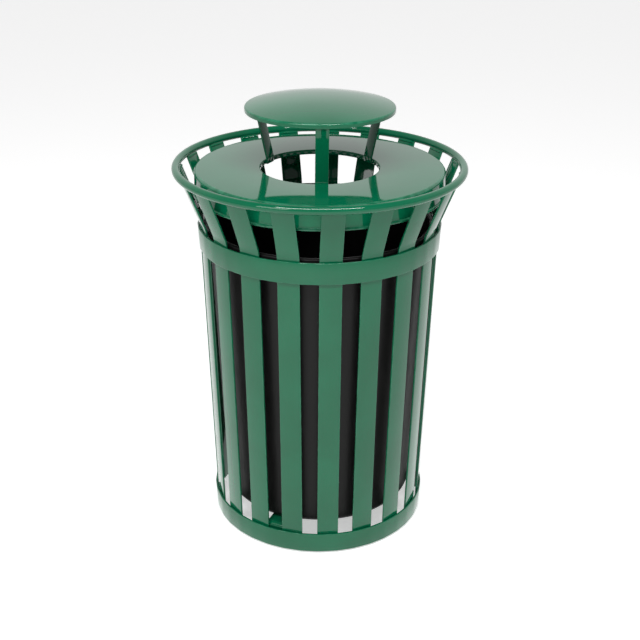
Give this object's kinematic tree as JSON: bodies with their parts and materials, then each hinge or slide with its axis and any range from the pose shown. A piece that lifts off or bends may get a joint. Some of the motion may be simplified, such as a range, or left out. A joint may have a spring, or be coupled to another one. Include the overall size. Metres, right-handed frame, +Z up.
{
  "type": "litter bin",
  "caption": "Round slatted steel litter bin with a flared top ring, hoops, a lift-out plastic liner and a flat lid whose round mouth is sheltered by a rain bonnet on legs.",
  "frame": {"origin": "centre of the bin on the ground, under the middle of the top ring, at the bottom of the foot pads", "axes": "+Z up along the bin's own axis; -Y is the front, where one of the bonnet's legs stands"},
  "size_m": [0.6899, 0.69, 1.0688],
  "materials": {
    "green_powder_coat": "glossy dark green powder coat on welded steel",
    "black_liner_plastic": "black moulded plastic, slight sheen",
    "zinc_plated_steel": "bright zinc plate",
    "black_foot_rubber": "plain black rubber"
  },
  "bodies": {
    "frame": {"slat_01": "green_powder_coat", "slat_02": "green_powder_coat", "slat_03": "green_powder_coat", "slat_04": "green_powder_coat", "slat_05": "green_powder_coat", "slat_06": "green_powder_coat", "slat_07": "green_powder_coat", "slat_08": "green_powder_coat", "slat_09": "green_powder_coat", "slat_10": "green_powder_coat", "slat_11": "green_powder_coat", "slat_12": "green_powder_coat", "slat_13": "green_powder_coat", "slat_14": "green_powder_coat", "slat_15": "green_powder_coat", "slat_16": "green_powder_coat", "slat_17": "green_powder_coat", "slat_18": "green_powder_coat", "slat_19": "green_powder_coat", "top_ring": "green_powder_coat", "waist_hoop": "green_powder_coat", "base_hoop": "green_powder_coat", "cross_bar": "green_powder_coat", "seat_bar_right": "green_powder_coat", "seat_bar_left": "green_powder_coat", "foot_nut_1": "green_powder_coat", "foot_nut_2": "green_powder_coat", "foot_nut_3": "green_powder_coat", "lid_rest_1": "green_powder_coat", "lid_rest_2": "green_powder_coat", "lid_rest_3": "green_powder_coat", "lid_rest_4": "green_powder_coat"},
    "liner": {"liner": "black_liner_plastic"},
    "lid": {"lid": "green_powder_coat", "bonnet": "green_powder_coat", "bonnet_leg_1": "green_powder_coat", "bonnet_leg_2": "green_powder_coat", "bonnet_leg_3": "green_powder_coat"},
    "foot_1": {"foot_stud_1": "zinc_plated_steel", "foot_pad_1": "black_foot_rubber"},
    "foot_2": {"foot_stud_2": "zinc_plated_steel", "foot_pad_2": "black_foot_rubber"},
    "foot_3": {"foot_stud_3": "zinc_plated_steel", "foot_pad_3": "black_foot_rubber"}
  },
  "joints": [
    {"name": "liner_lift", "type": "slide", "parent": "frame", "child": "liner", "axis": [0, 0, 1], "range_m": [0, 0.9]},
    {"name": "lid_lift", "type": "slide", "parent": "liner", "child": "lid", "axis": [0, 0, 1], "range_m": [0, 0.3]},
    {"name": "foot_1_screw", "type": "slide", "parent": "frame", "child": "foot_1", "axis": [0, 0, 1], "range_m": [-0.015, 0]},
    {"name": "foot_2_screw", "type": "slide", "parent": "frame", "child": "foot_2", "axis": [0, 0, 1], "range_m": [-0.015, 0]},
    {"name": "foot_3_screw", "type": "slide", "parent": "frame", "child": "foot_3", "axis": [0, 0, 1], "range_m": [-0.015, 0]}
  ]
}
